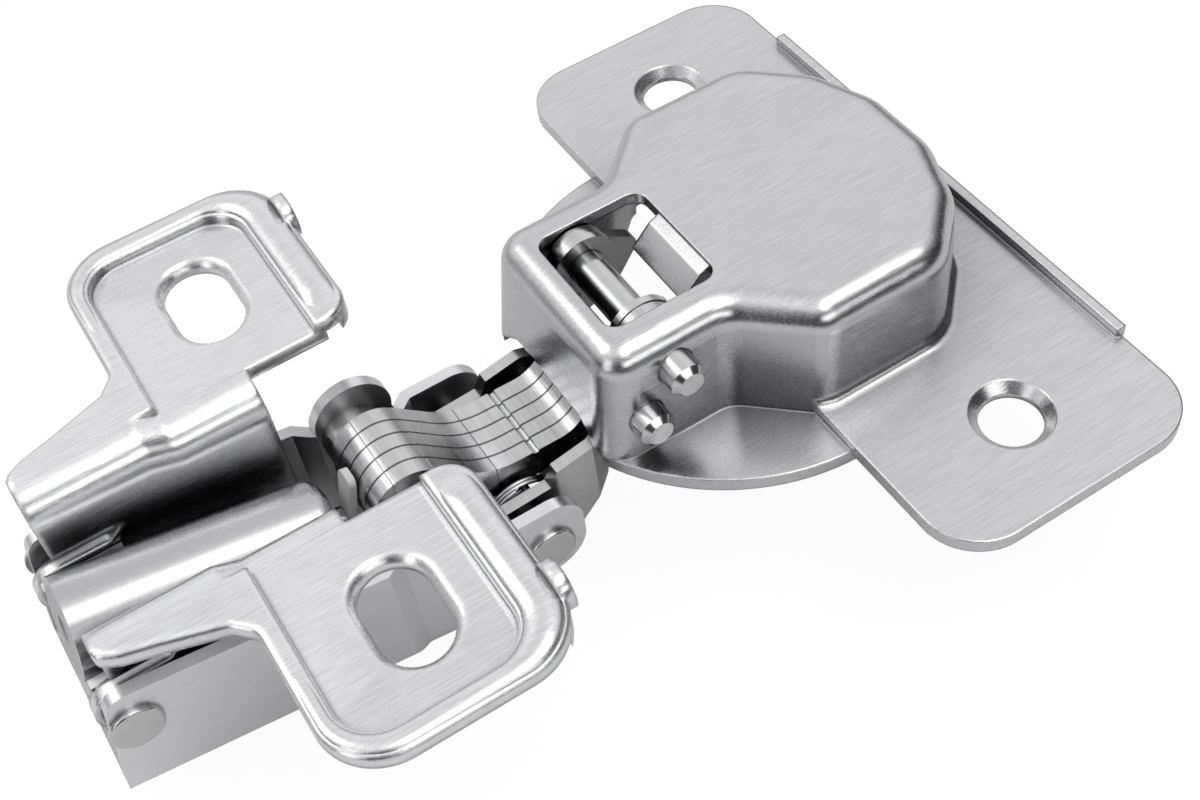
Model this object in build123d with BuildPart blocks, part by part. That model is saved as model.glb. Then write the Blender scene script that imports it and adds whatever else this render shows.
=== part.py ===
from build123d import *
from math import cos, hypot, radians, sin, tan
import os

os.makedirs("parts", exist_ok=True)

# Concealed cup hinge for a face frame, standing open, in millimetres.
# Origin: midway between the two mounting slots, on the upper face of the ears' pads.
# +X from the frame towards the door, +Y along the pivot axes, +Z into the frame's wood.

# ---------------------------------------------------------------- driving dimensions
running = 0.05  # radial clearance of a pin that turns in its hole
seated = 0.01  # radial clearance of a pin that is fixed in its hole

# Frame plate
sheet = 1.2
slot_spacing = 32.9
slot_width = 5.1
slot_reach = 8.2
slot_bevel = 0.55
ear_front = 8.9
ear_rear = -8.6
ear_half_span = 25.8
ear_inner = 8.0
ear_corner = 4.6
rim_rise = 0.9
rim_overlap = 0.8
pad_front = 5.6
pad_rear = -7.0
pad_outer = 23.7
tongue_rear = -18.1
wall_inner = 5.2
pad_bend = 2.9
tongue_bend = 3.0
ridge_end = 2.0
wall_front = -0.1
bridge_top = -15.0
bridge_rear = -12.1
bridge_front = -2.6
tab_radius = 1.8
tab_sink = 0.5
tab_thickness = 1.0
tab_y = 20.6

# Arm channel
arm_sheet = 1.0
arm_tilt = 9.0
arm_rear = -20.2
arm_top = -4.7
arm_depth = 11.6
arm_half_width = 8.3
hump_radius = 3.2
hump_half_width = 7.2
lug_half_width = 8.4
lug_top = -10.6
lug_radius = 3.1
web_front = -2.1
web_bend = 1.9
rear_rivet_x = -18.1
rear_rivet_z = -8.5
rear_rivet_radius = 1.3
rivet_head_radius = 2.0
rivet_head = 0.5
side_screw_x = -7.0
side_screw_radius = 1.9
side_screw_head = 3.2
side_screw_reach = 4.4

# Pivots: two in the arm, two in the cup
link_pin_x = 5.4
link_pin_z = -9.4
link_pin_radius = 1.25
rivet_x = 13.7
rivet_z = -14.9
rivet_radius = 1.45
cup_pin_radius = 1.45
cup_pin_reach = 10.7
cup_pin_far = 8.9
upper_pin_dx = -10.1
upper_pin_dz = 6.0
lower_pin_dx = -12.95
lower_pin_dz = 2.5

# Laminated link
plate_thickness = 1.36
plate_gap = 0.06
link_eye = 3.1
link_neck = 2.1
spacer_radius = 2.6

# Outer link
side_sheet = 1.0
side_wide = 5.95
side_narrow = 5.25
slot_play = 2.1
slot_slack = 0.4
bush_radius = 1.95
bush_flange = 2.7

# Cup
cup_x = 35.9
cup_z = -8.0
flange_radius = 18.0
flange_drop = 0.87
wing_inner = -1.44
wing_outer = 20.76
wing_half_span = 30.6
wing_corner = 4.6
lip_half = 21.5
lip_rise = 0.8
lip_width = 0.8
screw_dx = 9.5
screw_spacing = 45.0
screw_radius = 2.4
boss_height = 9.0
boss_wall = 1.0
boss_draft = 4.0
boss_lean = 0.05
boss_round = 2.4
boss_corner = 2.6
boss_half = 14.0
boss_end = 17.35
boss_end_round = 9.0
boss_root = 1.0
boss_foot_round = 0.8
nose_front = -16.5
nose_half = 9.05
screw_bevel = 0.8
window_rear = -13.3
window_front = -4.0
window_half = 5.4
flap_far = 2.6
flap_width = 6.75
mouth_half = 7.2

# Damper
damper_radius = 3.9
damper_length = 20.0
damper_wall = 0.6
cap_depth = 1.6
seal_depth = 1.4
piston_start = 8.0
piston_depth = 1.6
damper_tilt = 12.0
damper_rear_x = -19.45
damper_rear_z = -6.2
rod_radius = 1.1
driver_thickness = 0.6
driver_gap = 0.12
driver_width = 1.9
driver_rise = 4.9
bracket_sheet = 0.8
bracket_half = 5.1
bracket_rear = -19.6
bracket_front = -13.4
bracket_low = -12.8
bracket_top = -6.9

# Closing spring
spring_wire = 0.4
coil_radius = 3.5
spring_pitch = 0.43
spring_turns = 3

# ---------------------------------------------------------------- derived places
upper_pin_x = cup_x + upper_pin_dx
upper_pin_z = cup_z + upper_pin_dz
lower_pin_x = cup_x + lower_pin_dx
lower_pin_z = cup_z + lower_pin_dz
stack_half = 2.5 * plate_thickness + 2 * plate_gap
slot_y = slot_spacing / 2


def side_plane(x, z, turn=0.0, y=0.0):
    """Plane across the pivots at (x, y, z): local x along +X tipped up by turn, local y along +Z."""
    tip = radians(turn)
    return Plane(origin=(x, y, z), x_dir=(cos(tip), 0, sin(tip)), z_dir=(0, -1, 0))


def outline(points, rounds=()):
    """Polygon in the active sketch whose corners listed in rounds as (index, radius) are rounded."""
    Polygon(*points, align=None)
    for index, radius in rounds:
        x, y = points[index]
        fillet(vertices().sort_by_distance((x, y, 0))[0], radius=radius)


def post(x, z, radius, y_from, y_to, mode=Mode.ADD):
    """Round bar across the part between two heights along Y."""
    with Locations((x, (y_from + y_to) / 2, z)):
        Cylinder(radius, y_to - y_from, rotation=(90, 0, 0), mode=mode)


fall = tan(radians(arm_tilt))
arm_low = arm_top - arm_depth


def web_level(x, thickness):
    """Height of the arm's web at x, measured thickness above its underside."""
    return arm_low + thickness / cos(radians(arm_tilt)) - fall * (x - arm_rear + 0.8)


lean = radians(arm_tilt)
screw_plane = Plane(
    origin=(side_screw_x, 0, web_level(side_screw_x, 0)),
    x_dir=(cos(lean), 0, -sin(lean)),
    z_dir=(sin(lean), 0, cos(lean)),
)


# ---------------------------------------------------------------- frame plate
ear_points = [
    (ear_front, ear_inner + 0.2),
    (ear_front, ear_half_span),
    (ear_rear, ear_half_span),
    (ear_rear, 13.0),
    (-9.9, 11.6),
    (-14.2, 10.2),
    (-16.7, 9.5),
    (tongue_rear, 8.7),
    (tongue_rear, ear_inner),
]
wall_points = [
    (tongue_rear, rim_rise - tongue_bend + 0.1),
    (pad_rear - ridge_end, rim_rise - tongue_bend + 0.1),
    (pad_rear, 0.1 - pad_bend),
    (wall_front, 0.1 - pad_bend),
    (wall_front, bridge_top - sheet),
    (bridge_rear, bridge_top - sheet),
    (-13.1, -11.3),
    (rear_rivet_x, rear_rivet_z - 2.4),
    (rear_rivet_x, rear_rivet_z + 2.0),
    (-14.0, rear_rivet_z + 2.0),
    (-12.6, -5.3),
    (tongue_rear, -5.3),
]


def bend_section(radius, top):
    """Quarter ring in the active sketch: the sheet's bend from level top into the inner wall."""
    with Locations((wall_inner + radius, top - radius)):
        Circle(radius)
        Circle(radius - sheet, mode=Mode.SUBTRACT)
    with Locations((wall_inner + radius / 2, top - radius / 2)):
        Rectangle(radius, radius, mode=Mode.INTERSECT)


with BuildPart() as ridge_run:
    # the bend drops from the tongue's level to the pad's
    with BuildSketch(Plane.YZ.offset(pad_rear)):
        bend_section(pad_bend, 0)
    with BuildSketch(Plane.YZ.offset(pad_rear - ridge_end)):
        bend_section(tongue_bend, rim_rise)
    loft(ruled=True)

with BuildPart() as frame_plate:
    # one ear, a tray whose pad lies a step lower than its rim
    with BuildSketch(Plane.XY.offset(-sheet)):
        outline(ear_points, [(0, 2.4), (1, ear_corner), (2, ear_corner), (3, 1.2), (7, 0.9)])
    extrude(amount=sheet + rim_rise)
    with BuildSketch(Plane.XY):
        outline(
            [(pad_front, 6), (pad_front, pad_outer), (pad_rear, pad_outer), (pad_rear, 6)],
            [(1, 3.0), (2, 3.0)],
        )
    extrude(amount=rim_rise + 1, mode=Mode.SUBTRACT)
    # hollow under the raised rim, behind the skirt that folds down along the front
    with BuildSketch(Plane.XY.offset(-sheet)):
        with Locations((0, 20)):
            Rectangle(2 * (ear_front - sheet), 30)
        with Locations((-30, 20)):
            Rectangle(50, 30)
        with Locations(((pad_rear + pad_front) / 2, (pad_outer + rim_overlap + 5) / 2)):
            RectangleRounded(
                pad_front - pad_rear + 2 * rim_overlap,
                pad_outer + rim_overlap - 5,
                2,
                mode=Mode.SUBTRACT,
            )
    extrude(amount=rim_rise, mode=Mode.SUBTRACT)
    rim_edges = edges().filter_by_position(Axis.Z, rim_rise - 0.01, rim_rise + 0.01)
    fillet(rim_edges.filter_by_position(Axis.Y, ear_inner + 1, 40), radius=0.42)
    # shoulders bend down from the pad and the tongue into the inner wall
    with BuildSketch(Plane.YZ.offset(pad_rear)):
        bend_section(pad_bend, 0)
    extrude(amount=wall_front - pad_rear)
    with BuildSketch(Plane.YZ.offset(tongue_rear)):
        bend_section(tongue_bend, rim_rise)
    extrude(amount=pad_rear - ridge_end - tongue_rear)
    # inner wall with the lug for the rear rivet
    with BuildSketch(side_plane(0, 0, y=wall_inner + sheet)):
        outline(wall_points, [(4, 1.5), (5, 1.5)])
        with Locations((rear_rivet_x, rear_rivet_z - 0.2)):
            Circle(2.2)
    extrude(amount=sheet)
    add(ridge_run.part)
    # bridge under the damper
    with BuildSketch(Plane.XY.offset(bridge_top - sheet)):
        with Locations(((bridge_rear + bridge_front) / 2, (wall_inner + 0.5) / 2)):
            Rectangle(bridge_front - bridge_rear, wall_inner + 0.5)
    extrude(amount=sheet)
    # stop tab that stands up from the front edge and meets the frame's front
    with BuildSketch(Plane.YZ.offset(ear_front - tab_sink)):
        with Locations((tab_y, 0.05)):
            Circle(tab_radius)
        with Locations((tab_y, 2.0 - sheet)):
            Rectangle(2 * tab_radius, 4.0, mode=Mode.INTERSECT)
    extrude(amount=tab_thickness)
    # slot with a bevelled mouth
    with BuildSketch(Plane.XY.offset(-sheet)):
        with Locations((0, slot_y)):
            SlotOverall(slot_reach, slot_width, rotation=90)
    extrude(amount=sheet, mode=Mode.SUBTRACT)
    mouth = edges().filter_by_position(Axis.Z, -0.01, 0.01)
    mouth = mouth.filter_by_position(Axis.X, -slot_width / 2 - 0.1, slot_width / 2 + 0.1)
    mouth = mouth.filter_by_position(Axis.Y, slot_y - slot_reach / 2 - 0.1, slot_y + slot_reach / 2 + 0.1)
    chamfer(mouth, length=slot_bevel)
    post(rear_rivet_x, rear_rivet_z, rear_rivet_radius + seated, 0, 12, mode=Mode.SUBTRACT)
    mirror(about=Plane.XZ)
    with BuildSketch(screw_plane.offset(1)):
        Circle(side_screw_radius + seated)
    extrude(amount=8, mode=Mode.SUBTRACT)
frame_plate.part.label = "frame_plate"
export_step(frame_plate.part, "parts/frame_plate.step")

# ---------------------------------------------------------------- arm channel
arm_points = [
    (arm_rear + 1.0, arm_top),
    (2.2, arm_top - fall * (2.2 - arm_rear - 1.0)),
    (link_pin_x + 0.4, link_pin_z + 1.4),
    (8.9, -8.85),
    (9.3, lug_top),
    (16.8, lug_top),
    (16.8, rivet_z - 0.3),
    (10.8, arm_low - fall * (10.8 - arm_rear + 0.8)),
    (arm_rear - 0.8, arm_low),
]
plan_outer = [
    (-24, arm_half_width),
    (1.4, arm_half_width),
    (2.9, hump_half_width),
    (8.9, hump_half_width),
    (10.4, lug_half_width),
    (19, lug_half_width),
]
plan_inner = [
    (-24, arm_half_width - arm_sheet),
    (1.1, arm_half_width - arm_sheet),
    (2.6, hump_half_width - arm_sheet),
    (9.2, hump_half_width - arm_sheet),
    (10.7, lug_half_width - arm_sheet),
    (19, lug_half_width - arm_sheet),
]


def both_sides(points):
    """Closed outline from one side's points and their mirror across the X axis."""
    return points + [(x, -y) for x, y in points[::-1]]

arm_section = Plane(
    origin=(arm_rear - 0.8, 0, arm_low),
    x_dir=(0, 1, 0),
    z_dir=(cos(lean), 0, -sin(lean)),
)

with BuildPart() as arm_hollow:
    with BuildSketch(side_plane(0, 0)):
        Polygon(
            (-30, web_level(-30, arm_sheet)),
            (web_front, web_level(web_front, arm_sheet)),
            (web_front, -30),
            (30, -30),
            (30, 5),
            (-30, 5),
            align=None,
        )
    extrude(amount=12, both=True)
    with BuildSketch(Plane.XY):
        Polygon(*both_sides(plan_inner), align=None)
    extrude(amount=40, both=True, mode=Mode.INTERSECT)
    with BuildSketch(arm_section.offset(-20)):
        with Locations((0, arm_sheet + 20)):
            Rectangle(2 * (lug_half_width - arm_sheet), 40)
        fillet(vertices().group_by(Axis.Y)[0], radius=web_bend - arm_sheet)
    extrude(amount=90, mode=Mode.INTERSECT)

with BuildPart() as arm_channel:
    with BuildSketch(side_plane(0, 0)):
        outline(arm_points, [(0, 1.5), (5, 2.5), (6, 2.0), (7, 1.5), (8, 1.2)])
        with Locations((link_pin_x + 0.4, link_pin_z + 1.4)):
            Circle(hump_radius)
        with Locations((rivet_x, rivet_z)):
            Circle(lug_radius)
    extrude(amount=12, both=True)
    with BuildSketch(Plane.XY):
        Polygon(*both_sides(plan_outer), align=None)
    extrude(amount=40, both=True, mode=Mode.INTERSECT)
    with BuildSketch(arm_section.offset(-20)):
        with Locations((0, 20)):
            Rectangle(2 * lug_half_width, 40)
        fillet(vertices().group_by(Axis.Y)[0], radius=web_bend)
    extrude(amount=90, mode=Mode.INTERSECT)
    add(arm_hollow.part, mode=Mode.SUBTRACT)
    with BuildSketch(Plane.XY):
        Polygon(*both_sides([(web_front, arm_half_width - arm_sheet)] + plan_inner[1:]), align=None)
    extrude(amount=40, both=True, mode=Mode.SUBTRACT)
    post(rear_rivet_x, rear_rivet_z, rear_rivet_radius + seated, -12, 12, mode=Mode.SUBTRACT)
    post(link_pin_x, link_pin_z, link_pin_radius + seated, -12, 12, mode=Mode.SUBTRACT)
    post(rivet_x, rivet_z, rivet_radius + seated, -12, 12, mode=Mode.SUBTRACT)
    with BuildSketch(screw_plane.offset(-1)):
        Circle(side_screw_radius + running)
    extrude(amount=arm_sheet + 2, mode=Mode.SUBTRACT)
arm_channel.part.label = "arm_channel"
export_step(arm_channel.part, "parts/arm_channel.step")

# ---------------------------------------------------------------- pins, rivets and screw of the arm
with BuildPart() as rear_rivet_near:
    post(rear_rivet_x, rear_rivet_z, rear_rivet_radius, -arm_half_width, -bracket_half + bracket_sheet)
    post(rear_rivet_x, rear_rivet_z, rivet_head_radius, -arm_half_width - rivet_head, -arm_half_width)
    fillet(edges().sort_by(Axis.Y)[0], radius=0.25)
rear_rivet_near.part.label = "rear_rivet_near"
export_step(rear_rivet_near.part, "parts/rear_rivet_near.step")

with BuildPart() as rear_rivet_far:
    post(rear_rivet_x, rear_rivet_z, rear_rivet_radius, bracket_half - bracket_sheet, arm_half_width)
    post(rear_rivet_x, rear_rivet_z, rivet_head_radius, arm_half_width, arm_half_width + rivet_head)
    fillet(edges().sort_by(Axis.Y)[-1], radius=0.25)
rear_rivet_far.part.label = "rear_rivet_far"
export_step(rear_rivet_far.part, "parts/rear_rivet_far.step")

with BuildPart() as link_pin:
    post(link_pin_x, link_pin_z, link_pin_radius, -hump_half_width, hump_half_width)
    post(link_pin_x, link_pin_z, link_pin_radius + 0.55, -hump_half_width - 0.4, -hump_half_width)
    post(link_pin_x, link_pin_z, link_pin_radius + 0.55, hump_half_width, hump_half_width + 0.4)
    fillet(edges().sort_by(Axis.Y)[0], radius=0.2)
    fillet(edges().sort_by(Axis.Y)[-1], radius=0.2)
link_pin.part.label = "link_pin"
export_step(link_pin.part, "parts/link_pin.step")

with BuildPart() as outer_link_rivet:
    post(rivet_x, rivet_z, rivet_radius, -lug_half_width, lug_half_width)
    post(rivet_x, rivet_z, rivet_head_radius, -lug_half_width - rivet_head, -lug_half_width)
    post(rivet_x, rivet_z, rivet_head_radius, lug_half_width, lug_half_width + rivet_head)
    fillet(edges().sort_by(Axis.Y)[0], radius=0.25)
    fillet(edges().sort_by(Axis.Y)[-1], radius=0.25)
outer_link_rivet.part.label = "outer_link_rivet"
export_step(outer_link_rivet.part, "parts/outer_link_rivet.step")

with BuildPart() as side_screw:
    with BuildSketch(screw_plane.offset(-1.5)):
        Circle(side_screw_head)
    extrude(amount=1.5)
    with BuildSketch(screw_plane):
        Circle(side_screw_radius)
    extrude(amount=side_screw_reach)
    with BuildSketch(screw_plane.offset(-1.5)):
        Rectangle(4.4, 0.9)
        Rectangle(0.9, 4.4)
    extrude(amount=1.0, mode=Mode.SUBTRACT)
side_screw.part.label = "side_screw"
export_step(side_screw.part, "parts/side_screw.step")

spacer_inner = stack_half + 0.2
with BuildPart() as link_spacer_near:
    post(link_pin_x, link_pin_z, spacer_radius, -hump_half_width + arm_sheet, -spacer_inner)
    post(link_pin_x, link_pin_z, link_pin_radius + seated, -9, 0, mode=Mode.SUBTRACT)
link_spacer_near.part.label = "link_spacer_near"
export_step(link_spacer_near.part, "parts/link_spacer_near.step")

with BuildPart() as link_spacer_far:
    post(link_pin_x, link_pin_z, spacer_radius, spacer_inner, hump_half_width - arm_sheet)
    post(link_pin_x, link_pin_z, link_pin_radius + seated, 0, 9, mode=Mode.SUBTRACT)
link_spacer_far.part.label = "link_spacer_far"
export_step(link_spacer_far.part, "parts/link_spacer_far.step")

# ---------------------------------------------------------------- closing spring
coil_start = stack_half + 0.08
leg_rear = web_front - 2.2
leg_low = web_level(leg_rear, arm_sheet) + 0.05
coil_low = rivet_z - coil_radius

with BuildPart() as closing_spring:
    # turns of square wire round the rivet beside the link
    for turn in range(spring_turns):
        with BuildSketch(side_plane(rivet_x, rivet_z, y=coil_start + turn * spring_pitch + spring_wire)):
            Circle(coil_radius)
            Circle(coil_radius - spring_wire, mode=Mode.SUBTRACT)
        extrude(amount=spring_wire)
    coil_end = coil_start + (spring_turns - 1) * spring_pitch + spring_wire
    # step from turn to turn
    with BuildSketch(side_plane(rivet_x - coil_radius + spring_wire / 2, rivet_z, y=coil_end)):
        Rectangle(spring_wire * 0.9, 0.8)
    extrude(amount=coil_end - coil_start)
    # standing leg to the arm's web
    with BuildSketch(side_plane(0, 0, y=coil_end)):
        Polygon(
            (rivet_x, coil_low),
            (rivet_x, coil_low + spring_wire),
            (leg_rear, leg_low + spring_wire),
            (leg_rear, leg_low),
            align=None,
        )
    extrude(amount=spring_wire)
    with BuildSketch(side_plane(leg_rear + spring_wire / 2, leg_low + spring_wire / 2, y=coil_end)):
        Rectangle(spring_wire, spring_wire)
    extrude(amount=coil_end + 0.5)
    # working end, hooked in below the link
    with BuildSketch(side_plane(rivet_x + coil_radius - spring_wire / 2, rivet_z, y=coil_start + 0.1)):
        Rectangle(spring_wire, spring_wire)
    extrude(amount=1.6)
    mirror(about=Plane.XZ)
closing_spring.part.label = "closing_spring"
export_step(closing_spring.part, "parts/closing_spring.step")

# ---------------------------------------------------------------- damper
slope = radians(damper_tilt)
damper_plane = Plane(
    origin=(damper_rear_x, 0, damper_rear_z),
    x_dir=(0, -1, 0),
    z_dir=(cos(slope), 0, -sin(slope)),
)
damper_bore = damper_radius - damper_wall


def barrel(radius, start, length, mode=Mode.ADD):
    """Round solid along the damper's axis from start, measured from its rear face."""
    with Locations(damper_plane.offset(start + length / 2)):
        Cylinder(radius, length, mode=mode)


with BuildPart() as damper_cylinder:
    barrel(damper_radius, 0, damper_length)
    fillet(edges().sort_by(Axis.X)[-1], radius=1.2)
    barrel(damper_bore, -1, damper_length - 0.2, mode=Mode.SUBTRACT)
    barrel(rod_radius + running, damper_length - 2, 4, mode=Mode.SUBTRACT)
damper_cylinder.part.label = "damper_cylinder"
export_step(damper_cylinder.part, "parts/damper_cylinder.step")

with BuildPart() as damper_end_cap:
    barrel(damper_bore - seated, 0, cap_depth)
    barrel(1.0, -1, 1 + cap_depth / 3, mode=Mode.SUBTRACT)
damper_end_cap.part.label = "damper_end_cap"
export_step(damper_end_cap.part, "parts/damper_end_cap.step")

with BuildPart() as damper_seal:
    barrel(damper_bore - seated, damper_length - 2 * seal_depth, seal_depth)
    barrel(rod_radius + running, damper_length - 4, 4, mode=Mode.SUBTRACT)
damper_seal.part.label = "damper_seal"
export_step(damper_seal.part, "parts/damper_seal.step")

eye_ahead = (link_pin_x + 0.4 - damper_rear_x) * cos(slope)
eye_ahead += (damper_rear_z - link_pin_z - 1.4) * sin(slope)
driver_front = eye_ahead - link_eye - driver_gap

with BuildPart() as damper_rod:
    barrel(rod_radius, piston_start, driver_front - driver_thickness - piston_start)
    barrel(damper_bore - 0.1, piston_start, piston_depth)
damper_rod.part.label = "damper_rod"
export_step(damper_rod.part, "parts/damper_rod.step")

with BuildPart() as damper_driver:
    with BuildSketch(damper_plane.offset(driver_front - driver_thickness)):
        with Locations((0, 0.7 - driver_rise / 2)):
            RectangleRounded(driver_width, driver_rise + 1.4, 0.6)
    extrude(amount=driver_thickness)
damper_driver.part.label = "damper_driver"
export_step(damper_driver.part, "parts/damper_driver.step")

with BuildPart() as damper_bracket:
    # saddle under the damper's rear end
    with BuildSketch(Plane.YZ.offset(bracket_rear)):
        with Locations((0, (bracket_top + bracket_low) / 2)):
            Rectangle(2 * bracket_half, bracket_top - bracket_low)
        with Locations((0, (bracket_top + bracket_low) / 2 + bracket_sheet)):
            Rectangle(2 * (bracket_half - bracket_sheet), bracket_top - bracket_low, mode=Mode.SUBTRACT)
    extrude(amount=bracket_front - bracket_rear)
    with BuildSketch(Plane.YZ.offset(bracket_front - bracket_sheet)):
        with Locations((0, (bracket_low - 8.6) / 2)):
            Rectangle(2 * bracket_half - 0.2, -8.6 - bracket_low)
    extrude(amount=bracket_sheet)
    barrel(damper_radius + seated, -5, 30, mode=Mode.SUBTRACT)
    post(rear_rivet_x, rear_rivet_z, rear_rivet_radius + seated, -9, 9, mode=Mode.SUBTRACT)
damper_bracket.part.label = "damper_bracket"
export_step(damper_bracket.part, "parts/damper_bracket.step")

# ---------------------------------------------------------------- laminated link
link_points = [
    (link_pin_x, link_pin_z - 2.8),
    (20.9, -12.75),
    (21.88, -9.7),
    (lower_pin_x + link_neck - 0.2, lower_pin_z - 0.5),
    (lower_pin_x, lower_pin_z),
    (lower_pin_x - link_neck + 0.03, lower_pin_z),
    (20.95, -9.95),
    (12.2, -9.8),
    (8.05, -5.8),
    (link_pin_x + 0.4, link_pin_z + 1.4),
]


def link_plate(place):
    """One stamped plate of the laminated link; place counts plates from the middle one."""
    y = place * (plate_thickness + plate_gap)
    with BuildSketch(side_plane(0, 0, y=y)) as face:
        outline(link_points, [(1, 2.2), (2, 2.0), (6, 2.8), (7, 6.0)])
        with Locations((link_pin_x + 0.4, link_pin_z + 1.4)):
            Circle(link_eye)
        with Locations((link_pin_x, link_pin_z)):
            Circle(2.8)
            Circle(link_pin_radius + running, mode=Mode.SUBTRACT)
        with Locations((lower_pin_x, lower_pin_z)):
            Circle(link_neck)
            Circle(cup_pin_radius + running, mode=Mode.SUBTRACT)
        with Locations((16.0, -9.8)):
            Circle(0.3, mode=Mode.SUBTRACT)
    return extrude(face.sketch, amount=plate_thickness / 2, both=True, mode=Mode.PRIVATE)


with BuildPart() as link_plate_1:
    add(link_plate(-2))
link_plate_1.part.label = "link_plate_1"
export_step(link_plate_1.part, "parts/link_plate_1.step")

with BuildPart() as link_plate_2:
    add(link_plate(-1))
link_plate_2.part.label = "link_plate_2"
export_step(link_plate_2.part, "parts/link_plate_2.step")

with BuildPart() as link_plate_3:
    add(link_plate(0))
link_plate_3.part.label = "link_plate_3"
export_step(link_plate_3.part, "parts/link_plate_3.step")

with BuildPart() as link_plate_4:
    add(link_plate(1))
link_plate_4.part.label = "link_plate_4"
export_step(link_plate_4.part, "parts/link_plate_4.step")

with BuildPart() as link_plate_5:
    add(link_plate(2))
link_plate_5.part.label = "link_plate_5"
export_step(link_plate_5.part, "parts/link_plate_5.step")

# ---------------------------------------------------------------- outer link
reach = hypot(upper_pin_x - rivet_x, upper_pin_z - rivet_z)
ux = (upper_pin_x - rivet_x) / reach
uz = (upper_pin_z - rivet_z) / reach


def along(distance, offset, from_cup=False):
    """Point beside the line from the rivet to the cup's upper pin, offset to its lower right."""
    x, z = (upper_pin_x, upper_pin_z) if from_cup else (rivet_x, rivet_z)
    return (x + distance * ux + offset * uz, z + distance * uz - offset * ux)


outer_points = [
    (8.75, -13.6),
    (10.7, -11.9),
    (15.6, -11.6),
    (16.3, -10.2),
    (20.5, -9.4),
    along(-6.5, 1.5, True),
    along(-4.5, 2.15, True),
    along(-2.6, 1.9, True),
    (upper_pin_x, upper_pin_z),
    along(2.45, 0.9, True),
    along(3.1, 4.3, True),
    along(-1.5, 4.8, True),
    along(-5.5, 3.0, True),
    along(6.5, 4.1),
    along(5.2, 4.9),
    along(0.6, 4.9),
    (14.9, -19.2),
    (10.9, -18.0),
    (8.75, -16.0),
]
side_plan = [
    (0, side_wide),
    (19.5, side_wide),
    (20.9, side_narrow),
    (40, side_narrow),
]

with BuildPart() as link_hollow:
    with BuildSketch(side_plane(0, 0)):
        Polygon(
            along(-30, 4.0),
            along(40, 4.0),
            along(40, -30),
            along(-30, -30),
            align=None,
        )
        Polygon(along(5.2, 30), along(5.2, 3), along(40, 3), along(40, 30), align=None)
        Polygon(along(0.6, 30), along(0.6, 3), along(-30, 3), along(-30, 30), align=None)
    extrude(amount=12, both=True)
    with BuildSketch(Plane.XY):
        Polygon(*both_sides([(x, y - side_sheet) for x, y in side_plan]), align=None)
    extrude(amount=40, both=True, mode=Mode.INTERSECT)

with BuildPart() as outer_link:
    with BuildSketch(side_plane(0, 0)):
        outline(outer_points, [(1, 1.0), (5, 0.8), (10, 0.9), (11, 1.2), (16, 2.0), (17, 2.0)])
        with Locations((upper_pin_x, upper_pin_z)):
            Circle(2.6)
    extrude(amount=12, both=True)
    with BuildSketch(Plane.XY):
        Polygon(*both_sides(side_plan), align=None)
    extrude(amount=40, both=True, mode=Mode.INTERSECT)
    add(link_hollow.part, mode=Mode.SUBTRACT)
    post(upper_pin_x, upper_pin_z, bush_radius + seated, -9, 9, mode=Mode.SUBTRACT)
    # slot that lets the open pivot slide on the rivet
    with BuildSketch(side_plane(rivet_x - slot_play / 2, rivet_z - 0.3)):
        SlotCenterToCenter(slot_play, 2 * (rivet_radius + slot_slack))
    extrude(amount=9, both=True, mode=Mode.SUBTRACT)
outer_link.part.label = "outer_link"
export_step(outer_link.part, "parts/outer_link.step")

flange_inner = stack_half + 0.12
with BuildPart() as outer_link_bush_near:
    post(upper_pin_x, upper_pin_z, bush_flange, -side_narrow + side_sheet, -flange_inner)
    post(upper_pin_x, upper_pin_z, bush_radius, -side_narrow, -side_narrow + side_sheet)
    post(upper_pin_x, upper_pin_z, cup_pin_radius + running, -9, 0, mode=Mode.SUBTRACT)
outer_link_bush_near.part.label = "outer_link_bush_near"
export_step(outer_link_bush_near.part, "parts/outer_link_bush_near.step")

with BuildPart() as outer_link_bush_far:
    post(upper_pin_x, upper_pin_z, bush_flange, flange_inner, side_narrow - side_sheet)
    post(upper_pin_x, upper_pin_z, bush_radius, side_narrow - side_sheet, side_narrow)
    post(upper_pin_x, upper_pin_z, cup_pin_radius + running, 0, 9, mode=Mode.SUBTRACT)
outer_link_bush_far.part.label = "outer_link_bush_far"
export_step(outer_link_bush_far.part, "parts/outer_link_bush_far.step")

# ---------------------------------------------------------------- cup
cup_base = Plane(origin=(cup_x, 0, cup_z))
boss_points = [
    (nose_front, nose_half),
    (-6.0, nose_half),
    (-0.8, boss_half),
    (10.2, boss_half),
    (boss_end - 2.15, 8.9),
    (boss_end, 3.4),
]
draft_run = tan(radians(boss_draft))
root_depth = 4.0


def boss_section(level, inset=0.0):
    """Outline of the boss in the active sketch at a height above the wings, inset by a wall."""
    Polygon(*both_sides([(x + boss_lean * level, y) for x, y in boss_points]), align=None)
    offset(amount=-level * draft_run - inset, kind=Kind.INTERSECTION)


def is_upright(edge):
    """True for the edges between the boss's side walls."""
    return abs((edge @ 1).Z - (edge @ 0).Z) > boss_height / 2


with BuildPart() as boss_hollow:
    with BuildSketch(cup_base.offset(-root_depth)):
        boss_section(-root_depth, boss_wall)
    with BuildSketch(cup_base.offset(boss_height - boss_wall)):
        boss_section(boss_height - boss_wall, boss_wall)
    loft(ruled=True)
    near_arm = edges().filter_by(is_upright).filter_by_position(Axis.X, cup_x - 30, cup_x + 5)
    fillet(near_arm, radius=boss_corner - boss_wall)
    far_end = edges().filter_by(is_upright).filter_by_position(Axis.X, cup_x + 5, cup_x + 30)
    fillet(far_end, radius=boss_end_round / 2)
    fillet(edges().group_by(Axis.Z)[-1], radius=boss_round - boss_wall)

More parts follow.
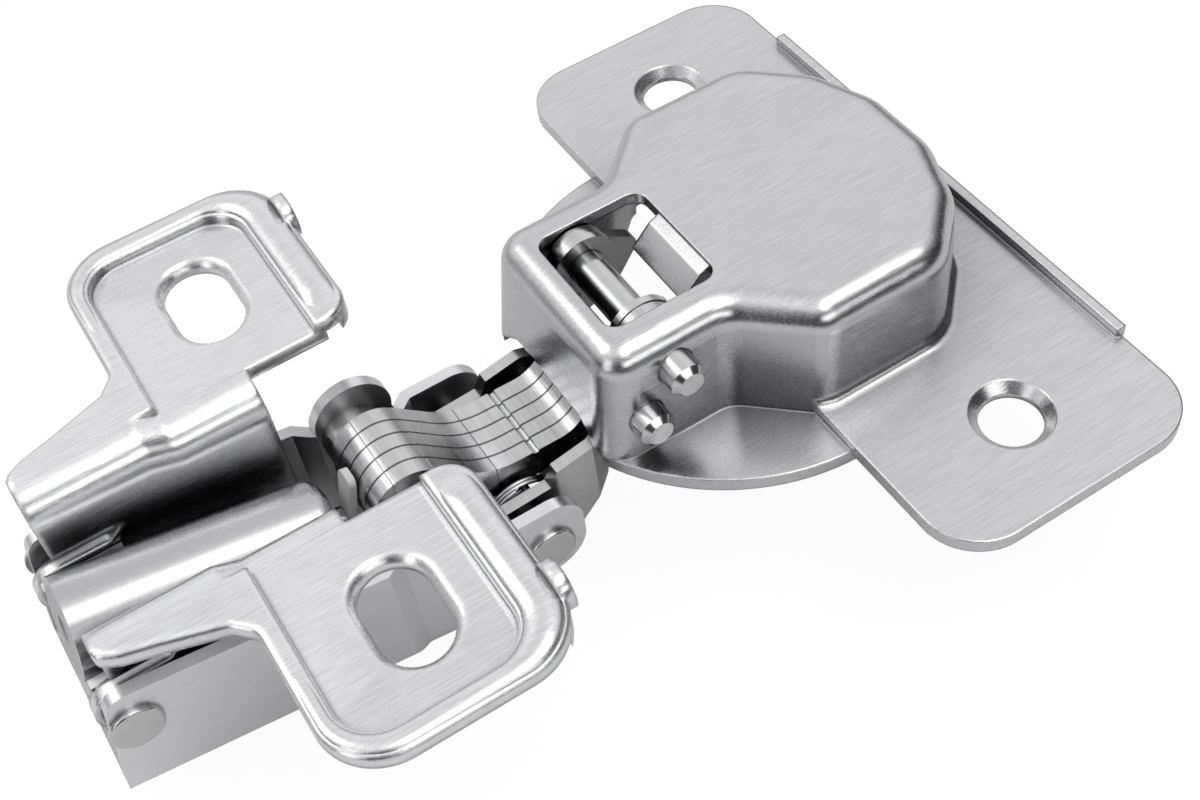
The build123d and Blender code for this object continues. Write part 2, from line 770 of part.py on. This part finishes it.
with BuildPart() as cup:
    # drawn boss that sits in the door's bore
    with BuildSketch(cup_base.offset(-boss_root)):
        boss_section(-boss_root)
    with BuildSketch(cup_base.offset(boss_height)):
        boss_section(boss_height)
    loft(ruled=True)
    near_arm = edges().filter_by(is_upright).filter_by_position(Axis.X, cup_x - 30, cup_x + 5)
    fillet(near_arm, radius=boss_corner)
    far_end = edges().filter_by(is_upright).filter_by_position(Axis.X, cup_x + 5, cup_x + 30)
    fillet(far_end, radius=boss_end_round / 2)
    fillet(edges().group_by(Axis.Z)[-1], radius=boss_round)
    # wings
    with BuildSketch(cup_base.offset(-sheet)):
        with Locations(((wing_inner + wing_outer) / 2, 0)):
            RectangleRounded(wing_outer - wing_inner, 2 * wing_half_span, wing_corner)
    extrude(amount=sheet)
    # half round flange one step lower, towards the arm
    with BuildSketch(cup_base.offset(-flange_drop - sheet)):
        Circle(flange_radius)
        with Locations((flange_radius + wing_inner + 0.7, 0)):
            Rectangle(2 * flange_radius, 4 * flange_radius, mode=Mode.SUBTRACT)
    extrude(amount=sheet)
    with BuildSketch(cup_base.offset(-flange_drop - sheet)):
        with Locations((wing_inner + 0.6, 0)):
            Rectangle(1.2, 2 * flange_radius - 0.4)
    extrude(amount=flange_drop + sheet - 0.3)
    # round foot where the boss rises from the wings
    foot = edges().filter_by_position(Axis.Z, cup_z - 0.01, cup_z + 0.01)
    foot = foot.filter_by_position(Axis.Y, -boss_half - 0.2, boss_half + 0.2)
    foot = foot.filter_by_position(Axis.X, cup_x + wing_inner + 0.2, cup_x + boss_end + 0.5)
    fillet(foot, radius=boss_foot_round)
    add(boss_hollow.part, mode=Mode.SUBTRACT)
    # lip along the outer edge
    with BuildSketch(cup_base.offset(-0.3)):
        with Locations((wing_outer - 0.05, 0)):
            Rectangle(lip_width, 2 * lip_half)
    extrude(amount=0.3 + lip_rise)
    # screw holes
    with BuildSketch(cup_base.offset(-3)):
        with Locations((screw_dx, screw_spacing / 2), (screw_dx, -screw_spacing / 2)):
            Circle(screw_radius)
    extrude(amount=6, mode=Mode.SUBTRACT)
    rims = edges().filter_by(GeomType.CIRCLE).filter_by_position(Axis.Z, cup_z - 0.01, cup_z + 0.01)
    rims = rims.filter_by(lambda e: abs(e.radius - screw_radius) < 0.01)
    chamfer(rims, length=screw_bevel)
    # mouth under the nose
    with BuildSketch(Plane.YZ.offset(cup_x - 20)):
        Polygon(
            (-mouth_half - 1.0, cup_z - 4),
            (-mouth_half, cup_z - 0.9),
            (-mouth_half + 2.6, cup_z + 0.9),
            (mouth_half - 2.6, cup_z + 0.9),
            (mouth_half, cup_z - 0.9),
            (mouth_half + 1.0, cup_z - 4),
            align=None,
        )
        fillet(vertices().group_by(Axis.Y)[-1], radius=1.5)
    extrude(amount=6.0, mode=Mode.SUBTRACT)
    # window over the links
    with BuildSketch(cup_base.offset(6)):
        with Locations(((window_rear + window_front) / 2, 0)):
            RectangleRounded(window_front - window_rear, 2 * window_half, 1.2)
    extrude(amount=6, mode=Mode.SUBTRACT)
    # tongue that folds down into the window
    with BuildSketch(side_plane(cup_x, cup_z, y=flap_far)):
        Polygon(
            (window_front + 0.6, boss_height),
            (window_front + 0.6, boss_height - boss_wall),
            (-5.9, 5.9),
            (-6.6, 6.6),
            (-4.9, 8.3),
            align=None,
        )
    extrude(amount=flap_width)
    post(upper_pin_x, upper_pin_z, cup_pin_radius + seated, -12, 12, mode=Mode.SUBTRACT)
    post(lower_pin_x, lower_pin_z, cup_pin_radius + seated, -12, 12, mode=Mode.SUBTRACT)
cup.part.label = "cup"
export_step(cup.part, "parts/cup.step")

with BuildPart() as cup_pin_upper:
    post(upper_pin_x, upper_pin_z, cup_pin_radius, -cup_pin_reach, cup_pin_far)
    chamfer(edges().filter_by(GeomType.CIRCLE), length=0.45)
cup_pin_upper.part.label = "cup_pin_upper"
export_step(cup_pin_upper.part, "parts/cup_pin_upper.step")

with BuildPart() as cup_pin_lower:
    post(lower_pin_x, lower_pin_z, cup_pin_radius, -cup_pin_reach, cup_pin_far)
    chamfer(edges().filter_by(GeomType.CIRCLE), length=0.45)
cup_pin_lower.part.label = "cup_pin_lower"
export_step(cup_pin_lower.part, "parts/cup_pin_lower.step")
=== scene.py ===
import math

import bpy
from mathutils import Matrix, Vector


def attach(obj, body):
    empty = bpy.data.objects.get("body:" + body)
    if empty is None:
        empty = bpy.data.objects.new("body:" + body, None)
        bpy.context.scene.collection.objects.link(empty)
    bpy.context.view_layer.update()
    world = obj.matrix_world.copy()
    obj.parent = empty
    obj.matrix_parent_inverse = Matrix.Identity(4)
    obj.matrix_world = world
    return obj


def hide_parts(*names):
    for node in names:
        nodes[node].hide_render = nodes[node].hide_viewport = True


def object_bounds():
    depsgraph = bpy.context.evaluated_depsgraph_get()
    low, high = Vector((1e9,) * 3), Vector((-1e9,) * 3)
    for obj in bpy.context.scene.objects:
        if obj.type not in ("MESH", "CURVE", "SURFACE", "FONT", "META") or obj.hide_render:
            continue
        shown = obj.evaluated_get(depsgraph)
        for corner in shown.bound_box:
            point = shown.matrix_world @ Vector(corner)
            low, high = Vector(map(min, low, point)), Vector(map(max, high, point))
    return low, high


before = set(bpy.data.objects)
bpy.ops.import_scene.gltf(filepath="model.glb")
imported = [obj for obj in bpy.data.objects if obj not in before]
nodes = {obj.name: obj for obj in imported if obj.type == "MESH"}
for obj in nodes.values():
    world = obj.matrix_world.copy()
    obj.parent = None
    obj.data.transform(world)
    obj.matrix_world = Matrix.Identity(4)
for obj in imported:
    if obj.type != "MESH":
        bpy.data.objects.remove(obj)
cad_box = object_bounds()
MM = 0.001


# ---------------------------------------------------------------- node helpers
def new_material(name):
    mat = bpy.data.materials.new(name)
    mat.use_nodes = True
    tree = mat.node_tree
    tree.nodes.clear()
    return mat, tree


def put(tree, socket, value):
    """Links another node's output to the socket, or sets the socket to a plain value."""
    if isinstance(value, bpy.types.NodeSocket):
        tree.links.new(value, socket)
    else:
        socket.default_value = value


def add_node(tree, kind, inputs=None, **settings):
    node = tree.nodes.new(kind)
    for key, value in settings.items():
        setattr(node, key, value)
    for key, value in (inputs or {}).items():
        put(tree, node.inputs[key], value)
    return node


def math_node(tree, operation, a, b=0.0, c=0.0, clamp=False):
    inputs = {0: a, 1: b, 2: c}
    return add_node(tree, "ShaderNodeMath", inputs, operation=operation, use_clamp=clamp).outputs[0]


def map_range(tree, value, start, end, low=0.0, high=1.0):
    """Takes start to end into low to high, and holds both ends beyond them."""
    inputs = {"Value": value, "From Min": start, "From Max": end, "To Min": low, "To Max": high}
    return add_node(tree, "ShaderNodeMapRange", inputs).outputs["Result"]


def noise(tree, vector, scale, detail, rough):
    inputs = {"Vector": vector, "Scale": scale, "Detail": detail, "Roughness": rough}
    return add_node(tree, "ShaderNodeTexNoise", inputs).outputs["Fac"]


def stretched(tree, coords, scale):
    """Object coordinates scaled by a different amount along each axis, so that noise turns into streaks."""
    return add_node(tree, "ShaderNodeMapping", {"Vector": coords, "Scale": scale}).outputs["Vector"]


def grey(tree, value):
    """A colour whose three channels are all the value."""
    return add_node(tree, "ShaderNodeCombineColor", {0: value, 1: value, 2: value}).outputs[0]


def tinted(tree, tone, value):
    """The tone multiplied by a value that varies over the surface."""
    inputs = {0: 1.0, 6: (*tone, 1), 7: grey(tree, value)}
    return add_node(tree, "ShaderNodeMix", inputs, data_type="RGBA", blend_type="MULTIPLY").outputs[2]


def bumped(tree, height, strength, depth):
    return add_node(tree, "ShaderNodeBump", {"Height": height, "Strength": strength, "Distance": depth})


# ---------------------------------------------------------------- metal
BROAD_STREAK = (60, 260, 260)
# how much the grain, the broad clouds and the spots change the tone, the roughness and the height
GRAIN_TONE, CLOUD_TONE = 0.50, 0.04
GRAIN_ROUGHNESS, SPOT_ROUGHNESS = 0.20, 0.04
SPOT_HEIGHT = 0.0375
METAL_BUMP_DEPTH = 0.05 * MM
# pointiness from inner corner to outer edge, and how much the tone changes there: edges brighter from wear,
# inner corners darker as painted shade
POINTED_LOW, POINTED_HIGH = 0.46, 0.56
EDGE_WEAR_AND_CORNER_SHADE_TONE = 0.05
# stamped lines and seams, drawn as lines of painted shade, and how much they take off the tone
TICK_HALF_WIDTH, SEAM_HALF_WIDTH = 0.05 * MM, 0.10 * MM
PAINTED_LINE_SHADE_TONE = 0.62
# openness below which the painted shade is full, and the share of the tone left under it
PAINTED_SHADE_FULL = 0.10
PAINTED_SHADE_TONE = 0.16


def cross_line(tree, coords, axis, station, half_width):
    """1 on a line that crosses the given axis at a station in millimetres, and 0 elsewhere."""
    along = add_node(tree, "ShaderNodeSeparateXYZ", {"Vector": coords}).outputs[axis]
    away = math_node(tree, "ABSOLUTE", math_node(tree, "SUBTRACT", along, station * MM))
    return math_node(tree, "LESS_THAN", away, half_width)


def metal(
    name, tone, rough, brush, bump, streak=(360, 6200, 6200), aniso=0.0, ticks=(), seams=(), ease=0.0,
    reach=4.5, clear=0.75
):
    """Plated steel: tone is its reflectance, brush the depth of its fine grain, streak the grain's run.

    ticks lists the stations along X, in millimetres, of fine stamped lines across the steel, drawn as
    painted shade.
    seams lists the stations along Y, in millimetres, where two plates meet, drawn as lines of painted
    shade.
    ease is the radius, in millimetres, over which the light rounds the bends of the sheet.
    reach is how far, in millimetres, a fold casts painted shade on what is near it, and clear is how
    open a place has to be to stay free of that painted shade.
    """
    mat, tree = new_material(name)
    coords = add_node(tree, "ShaderNodeTexCoord").outputs["Object"]
    fine = noise(tree, stretched(tree, coords, streak), 1.0, 4.0, 0.65)
    broad = noise(tree, stretched(tree, coords, BROAD_STREAK), 1.0, 2.0, 0.5)
    spots = noise(tree, coords, 420.0, 3.0, 0.6)
    grain = math_node(tree, "SUBTRACT", fine, 0.5)
    cloud = math_node(tree, "SUBTRACT", broad, 0.5)
    value = math_node(tree, "MULTIPLY_ADD", grain, GRAIN_TONE * brush, 1.0)
    value = math_node(tree, "MULTIPLY_ADD", cloud, CLOUD_TONE, value)
    # edges are a little brighter from wear, and inner corners get a little painted shade
    pointed = add_node(tree, "ShaderNodeNewGeometry").outputs["Pointiness"]
    edge_wear_and_corner_shade = map_range(tree, pointed, POINTED_LOW, POINTED_HIGH, -EDGE_WEAR_AND_CORNER_SHADE_TONE, EDGE_WEAR_AND_CORNER_SHADE_TONE)
    value = math_node(tree, "ADD", value, edge_wear_and_corner_shade)
    # stamped lines and plate seams darken the colour: painted shade of their grooves
    lines = [cross_line(tree, coords, "X", station, TICK_HALF_WIDTH) for station in ticks]
    lines += [cross_line(tree, coords, "Y", station, SEAM_HALF_WIDTH) for station in seams]
    if lines:
        painted_line_shade = lines[0]
        for line in lines[1:]:
            painted_line_shade = math_node(tree, "MAXIMUM", painted_line_shade, line)
        value = math_node(tree, "MULTIPLY_ADD", painted_line_shade, -PAINTED_LINE_SHADE_TONE, value)
    # crevices, folds and faces near walls get painted shade, darker the less open they are
    openness = add_node(tree, "ShaderNodeAmbientOcclusion", {"Distance": reach * MM}, samples=12)
    painted_shade = map_range(tree, openness.outputs["AO"], PAINTED_SHADE_FULL, clear, PAINTED_SHADE_TONE, 1.0)
    value = math_node(tree, "MULTIPLY", value, painted_shade)
    gloss = math_node(tree, "MULTIPLY_ADD", grain, GRAIN_ROUGHNESS * brush, rough)
    spread = math_node(tree, "SUBTRACT", spots, 0.5)
    gloss = math_node(tree, "MULTIPLY_ADD", spread, SPOT_ROUGHNESS, gloss, clamp=True)
    height = math_node(tree, "MULTIPLY", fine, brush)
    height = math_node(tree, "MULTIPLY_ADD", spots, SPOT_HEIGHT, height)
    bumper = bumped(tree, height, bump, METAL_BUMP_DEPTH)
    if ease:
        eased = add_node(tree, "ShaderNodeBevel", {"Radius": ease * MM}, samples=8)
        put(tree, bumper.inputs["Normal"], eased.outputs["Normal"])
    look = {
        "Base Color": tinted(tree, tone, value),
        "Metallic": 1.0,
        "Anisotropic": aniso,
        "Roughness": gloss,
        "Normal": bumper.outputs["Normal"],
    }
    shader = add_node(tree, "ShaderNodeBsdfPrincipled", look)
    add_node(tree, "ShaderNodeOutputMaterial", {"Surface": shader.outputs[0]})
    return mat


# ---------------------------------------------------------------- plastic and rubber
MOULD_TONE = 0.12
MOULD_ROUGHNESS = 0.12
MOULD_BUMP = 0.1
MOULD_BUMP_DEPTH = 0.04 * MM


def moulded(name, tone, rough):
    """Plastic or rubber with a fine moulded grain."""
    mat, tree = new_material(name)
    coords = add_node(tree, "ShaderNodeTexCoord").outputs["Object"]
    grain = noise(tree, coords, 3500.0, 3.0, 0.6)
    cloud = noise(tree, coords, 300.0, 2.0, 0.5)
    value = math_node(tree, "MULTIPLY_ADD", cloud, MOULD_TONE, 1.0 - MOULD_TONE / 2)
    look = {
        "Base Color": tinted(tree, tone, value),
        "Roughness": math_node(tree, "MULTIPLY_ADD", grain, MOULD_ROUGHNESS, rough - MOULD_ROUGHNESS / 2),
        "Normal": bumped(tree, grain, MOULD_BUMP, MOULD_BUMP_DEPTH).outputs["Normal"],
    }
    shader = add_node(tree, "ShaderNodeBsdfPrincipled", look)
    add_node(tree, "ShaderNodeOutputMaterial", {"Surface": shader.outputs[0]})
    return mat


# ---------------------------------------------------------------- finishes
plate_metal = metal("plate_metal", (0.79, 0.79, 0.80), 0.25, brush=1.0, bump=0.14, aniso=0.3, ease=0.7)
# the cup's painted shade reaches farther and darkens all but its most open faces
cup_metal = metal(
    "cup_metal", (0.62, 0.62, 0.63), 0.25, brush=1.1, bump=0.12, aniso=0.3, ease=0.3, reach=9.0,
    clear=0.92
)
arm_metal = metal("arm_metal", (0.78, 0.78, 0.79), 0.32, brush=0.5, bump=0.08)
link_metal = metal("link_metal", (0.60, 0.60, 0.60), 0.22, brush=0.7, bump=0.25, streak=(1400, 90, 1400))
# the link plates' stamped lines and seams are drawn as lines of painted shade
plate_edge = metal(
    "plate_edge", (0.60, 0.60, 0.60), 0.24, brush=1.0, bump=0.3, streak=(2600, 140, 2600),
    ticks=(4.8, 12.6), seams=(-2.13, -0.71, 0.71, 2.13)
)
pin_metal = metal("pin_metal", (0.62, 0.62, 0.62), 0.20, brush=0.4, bump=0.10, streak=(900, 900, 900))
tube_metal = metal("tube_metal", (0.52, 0.52, 0.53), 0.28, brush=0.5, bump=0.05)
wire_metal = metal("wire_metal", (0.55, 0.55, 0.56), 0.22, brush=0.3, bump=0.05)
grey_plastic = moulded("grey_plastic", (0.42, 0.42, 0.42), 0.45)
pale_plastic = moulded("pale_plastic", (0.62, 0.62, 0.61), 0.40)
black_rubber = moulded("black_rubber", (0.02, 0.02, 0.02), 0.6)

finish = {
    "frame_plate": plate_metal,
    "cup": cup_metal,
    "arm_channel": arm_metal,
    "damper_bracket": arm_metal,
    "damper_cylinder": tube_metal,
    "damper_end_cap": grey_plastic,
    "damper_driver": pale_plastic,
    "damper_seal": black_rubber,
    "closing_spring": wire_metal,
    "outer_link": link_metal,
}

# widths of the softened edges, in millimetres
edge_width = {
    "frame_plate": 0.28,
    "cup": 0.34,
    "arm_channel": 0.2,
    "outer_link": 0.12,
    "damper_bracket": 0.12,
}
PLATE_EDGE_WIDTH = 0.11
SMALL_EDGE_WIDTH = 0.07
SHARP_EDGE = math.radians(35)

for name, obj in nodes.items():
    stamped = name.startswith("link_plate")
    obj.data.materials.clear()
    obj.data.materials.append(finish.get(name, plate_edge if stamped else pin_metal))
    bevel = obj.modifiers.new("edges", "BEVEL")
    bevel.width = edge_width.get(name, PLATE_EDGE_WIDTH if stamped else SMALL_EDGE_WIDTH) * MM
    bevel.segments = 3
    bevel.limit_method = "ANGLE"
    bevel.angle_limit = SHARP_EDGE
    bevel.harden_normals = True
    for polygon in obj.data.polygons:
        polygon.use_smooth = True


# ---------------------------------------------------------------- pieces made here
def skin(rings, ring, flip=False):
    """Faces over rings of points that follow one another, with a cap at either end."""
    faces = []
    for i in range(rings - 1):
        for j in range(ring):
            k = (j + 1) % ring
            faces.append((i * ring + j, i * ring + k, (i + 1) * ring + k, (i + 1) * ring + j))
    faces.append(tuple(range(ring))[::-1])
    faces.append(tuple(range((rings - 1) * ring, rings * ring)))
    return [face[::-1] for face in faces] if flip else faces


def new_piece(name, verts, faces, material):
    """A mesh object, smooth but for its end caps."""
    mesh = bpy.data.meshes.new(name)
    mesh.from_pydata([tuple(v) for v in verts], [], faces)
    mesh.update()
    for polygon in mesh.polygons:
        polygon.use_smooth = len(polygon.vertices) == 4
    mesh.materials.append(material)
    obj = bpy.data.objects.new(name, mesh)
    bpy.context.scene.collection.objects.link(obj)
    return obj


# ---------------------------------------------------------------- closing spring in round wire
# millimetres, and places in the XZ plane
RIVET = (13.7, -14.9)
LEG_END = (-4.1, -17.62)
WIRE = 0.2
WIRE_SIDES = 10
COIL = 3.3
COIL_INNER, COIL_OUTER = 3.82, 4.66
HOOK_END, HOOK_TOP = 2.2, 3.57
TURNS = 2.75
STEPS_PER_TURN = 40
LEG_STEPS = 8


def tube(name, path, radius, material, body):
    """Round wire along a path of points in millimetres, capped at both ends."""
    points = [Vector(p) * MM for p in path]
    verts = []
    side = None
    for i, here in enumerate(points):
        ahead = (points[min(i + 1, len(points) - 1)] - points[max(i - 1, 0)]).normalized()
        if side is None:
            side = ahead.orthogonal().normalized()
        side = (side - ahead * side.dot(ahead)).normalized()
        other = ahead.cross(side)
        for j in range(WIRE_SIDES):
            turn = 2 * math.pi * j / WIRE_SIDES
            verts.append(here + (side * math.cos(turn) + other * math.sin(turn)) * radius * MM)
    obj = new_piece(name, verts, skin(len(points), WIRE_SIDES), material)
    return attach(obj, body)


def coil_side(sign):
    """Points from the hooked end, round the rivet and out along the standing leg."""
    steps = int(TURNS * STEPS_PER_TURN)
    points = [(RIVET[0] + COIL, sign * y, RIVET[1]) for y in (HOOK_END, HOOK_TOP)]
    for i in range(steps + 1):
        part = i / steps
        turn = -part * TURNS * 2 * math.pi
        y = COIL_INNER + (COIL_OUTER - COIL_INNER) * part
        points.append((RIVET[0] + COIL * math.cos(turn), sign * y, RIVET[1] + COIL * math.sin(turn)))
    last = points[-1]
    leg = (LEG_END[0], sign * COIL_OUTER, LEG_END[1])
    for i in range(1, LEG_STEPS + 1):
        part = i / LEG_STEPS
        points.append(tuple(a + (b - a) * part for a, b in zip(last, leg)))
    return points


spring_path = coil_side(1) + coil_side(-1)[::-1]
spring = tube("round_spring", spring_path, WIRE, wire_metal, "frame")
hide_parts("closing_spring")

# ---------------------------------------------------------------- rolled rims of the ears
# the two feet of a rim in millimetres: x of its front, x of its rear, y of its outer side, corner radius
INNER_FOOT = (5.75, -7.15, 23.85, 3.15)
OUTER_FOOT = (8.75, -8.45, 25.65, 4.45)
# y where the rim starts at the front and ends at the rear
RIM_START, RIM_END = 8.7, 15.0
# below this y the ear's front edge turns in on this radius, towards its inner corner
TURN_IN_Y, TURN_IN_RADIUS = 10.6, 2.4
FRONT_STEPS, CORNER_STEPS, STRAIGHT_STEPS, TAPER_STEPS = 24, 12, 8, 6
# height of the feet, depth of the bead's flat root below them, and the root's place across the rim
RIM_FOOT, RIM_ROOT, ROOT_EDGE = 0.77, 0.25, 0.08
RIM_ACROSS = 9
# height of the crown over the rim's width
ROLL = 0.185


def foot_line(front, rear, side, radius):
    """Points up the front of an ear, round its outer side and down its rear, in millimetres."""
    front_x, rear_x, turn_y = front - radius, rear + radius, side - radius
    line = []
    for i in range(FRONT_STEPS):
        line.append((front, RIM_START + (turn_y - RIM_START) * i / FRONT_STEPS))
    for i in range(CORNER_STEPS + 1):
        turn = math.radians(90 * i / CORNER_STEPS)
        line.append((front_x + radius * math.cos(turn), turn_y + radius * math.sin(turn)))
    for i in range(1, STRAIGHT_STEPS):
        line.append((front_x + (rear_x - front_x) * i / STRAIGHT_STEPS, side))
    for i in range(CORNER_STEPS + 1):
        turn = math.radians(90 + 90 * i / CORNER_STEPS)
        line.append((rear_x + radius * math.cos(turn), turn_y + radius * math.sin(turn)))
    for i in range(1, STRAIGHT_STEPS + 1):
        line.append((rear, turn_y + (RIM_END - turn_y) * i / STRAIGHT_STEPS))
    return line


def turned_in(y):
    """How far the ear's front edge has turned in at y, in millimetres."""
    return TURN_IN_RADIUS - math.sqrt(TURN_IN_RADIUS**2 - max(0.0, TURN_IN_Y - y) ** 2)


def rolled_rim(name, sign):
    """Crowned bead along the front, outer and rear rim of one ear, sunk into its flat top."""
    inner_line = foot_line(*INNER_FOOT)
    outer_line = [(x - turned_in(y), y) for x, y in foot_line(*OUTER_FOOT)]
    verts = []
    for i, (inner, outer) in enumerate(zip(inner_line, outer_line)):
        rise = min(1.0, i / TAPER_STEPS, (len(inner_line) - 1 - i) / TAPER_STEPS)
        crest = ROLL * math.dist(inner, outer) * rise * rise * (3 - 2 * rise)
        section = []
        for j in range(RIM_ACROSS):
            u = j / (RIM_ACROSS - 1)
            section.append((u, RIM_FOOT + crest * (1 - (2 * u - 1) ** 2)))
        section += [(1 - ROOT_EDGE, RIM_FOOT - RIM_ROOT), (ROOT_EDGE, RIM_FOOT - RIM_ROOT)]
        for u, z in section:
            x, y = (a + (b - a) * u for a, b in zip(inner, outer))
            verts.append((x * MM, sign * y * MM, z * MM))
    obj = new_piece(name, verts, skin(len(inner_line), RIM_ACROSS + 2, flip=sign > 0), plate_metal)
    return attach(obj, "frame")


rolled_rim("rolled_rim_near", -1)
rolled_rim("rolled_rim_far", 1)

# ---------------------------------------------------------------- floor
# the middle of the hinge, in metres
MIDDLE = (0.02, 0.0, -0.008)
FLOOR_DROP = 0.4 * MM
FLOOR_SIZE = 6
FLOOR_TONE = 0.86
MIRRORED_FLOOR_TONE = 0.70
FLOOR_GLOW = 1.04
FLOOR_GLOW_SHARE = 0.90

floor_level = cad_box[0][2] - FLOOR_DROP
bpy.ops.mesh.primitive_plane_add(size=FLOOR_SIZE, location=(MIDDLE[0], MIDDLE[1], floor_level))
floor = bpy.context.object
floor.name = "floor"
mat, tree = new_material("floor_white")
rays = add_node(tree, "ShaderNodeLightPath").outputs
tone = math_node(tree, "MULTIPLY_ADD", rays["Is Glossy Ray"], MIRRORED_FLOOR_TONE - FLOOR_TONE, FLOOR_TONE)
diffuse = add_node(tree, "ShaderNodeBsdfDiffuse", {"Color": grey(tree, tone)})
glow = add_node(tree, "ShaderNodeEmission", {"Color": (1, 1, 1, 1), "Strength": FLOOR_GLOW})
share = math_node(tree, "MULTIPLY", rays["Is Camera Ray"], FLOOR_GLOW_SHARE)
mix = add_node(tree, "ShaderNodeMixShader", {0: share, 1: diffuse.outputs[0], 2: glow.outputs[0]})
add_node(tree, "ShaderNodeOutputMaterial", {"Surface": mix.outputs[0]})
floor.data.materials.append(mat)

# ---------------------------------------------------------------- sky
# it brightens upwards and towards +Y, and the camera sees plain white in its place
SKY_UP = 0.85
SKY_FAR = 0.45
SKY_STRENGTH = 0.92
SKY_STOPS = ((0.0, 0.06), (0.22, 0.03), (0.36, 0.07), (0.52, 0.45), (0.66, 0.95), (0.86, 1.0), (1.0, 0.80))

world = bpy.data.worlds.new("studio")
bpy.context.scene.world = world
world.use_nodes = True
tree = world.node_tree
tree.nodes.clear()
direction = add_node(tree, "ShaderNodeTexCoord").outputs["Generated"]
parts = add_node(tree, "ShaderNodeSeparateXYZ", {"Vector": direction}).outputs
far = math_node(tree, "MULTIPLY", parts["Y"], SKY_FAR)
height = math_node(tree, "MULTIPLY_ADD", parts["Z"], SKY_UP, far)
ramp = add_node(tree, "ShaderNodeValToRGB", {"Fac": map_range(tree, height, -0.2, 1.0)})
while len(ramp.color_ramp.elements) < len(SKY_STOPS):
    ramp.color_ramp.elements.new(0.5)
for element, (place, tone) in zip(ramp.color_ramp.elements, SKY_STOPS):
    element.position = place
    element.color = (tone, tone, tone * 1.01, 1)
sky = add_node(tree, "ShaderNodeBackground", {"Color": ramp.outputs["Color"], "Strength": SKY_STRENGTH})
white = add_node(tree, "ShaderNodeBackground", {"Color": (1, 1, 1, 1), "Strength": 1.0})
seen = add_node(tree, "ShaderNodeLightPath").outputs["Is Camera Ray"]
mix = add_node(tree, "ShaderNodeMixShader", {0: seen, 1: sky.outputs[0], 2: white.outputs[0]})
add_node(tree, "ShaderNodeOutputWorld", {"Surface": mix.outputs[0]})

# ---------------------------------------------------------------- lamps
# place, width and height in metres, and power in watts; each one points at the middle of the hinge
lamps = {
    "key": ((-0.24, 0.22, 0.40), (0.24, 0.24), 0.35),
    "side": ((-0.35, -0.12, 0.16), (0.16, 0.26), 0.18),
    "front": ((0.06, -0.42, 0.24), (0.40, 0.12), 0.34),
    "above": ((0.12, -0.15, 0.42), (0.36, 0.22), 0.48),
}
for name, (place, size, power) in lamps.items():
    data = bpy.data.lights.new(name, "AREA")
    data.shape = "RECTANGLE"
    data.size, data.size_y = size
    data.energy = power
    lamp = bpy.data.objects.new(name, data)
    bpy.context.scene.collection.objects.link(lamp)
    lamp.location = place
    lamp.rotation_euler = (Vector(MIDDLE) - Vector(place)).to_track_quat("-Z", "Y").to_euler()

# ---------------------------------------------------------------- camera
# its own right, up and back directions, and its place
CAMERA_RIGHT = (0.8445037, -0.5267256, -0.0968176)
CAMERA_UP = (0.4648811, 0.6312329, 0.6208305)
CAMERA_BACK = (-0.2658928, -0.5693024, 0.7779433)
CAMERA_PLACE = (-10.972 * MM, -73.8485 * MM, 87.9947 * MM)

camera_data = bpy.data.cameras.new("camera")
camera = bpy.data.objects.new("camera", camera_data)
bpy.context.scene.collection.objects.link(camera)
rows = zip(CAMERA_RIGHT, CAMERA_UP, CAMERA_BACK, CAMERA_PLACE)
camera.matrix_world = Matrix((*rows, (0, 0, 0, 1)))
camera_data.sensor_width = 36.0
camera_data.lens = 49.259
camera_data.clip_start = 0.005
camera_data.clip_end = 20
bpy.context.scene.camera = camera
bpy.context.scene.view_settings.view_transform = "Standard"

bpy.context.view_layer.update()
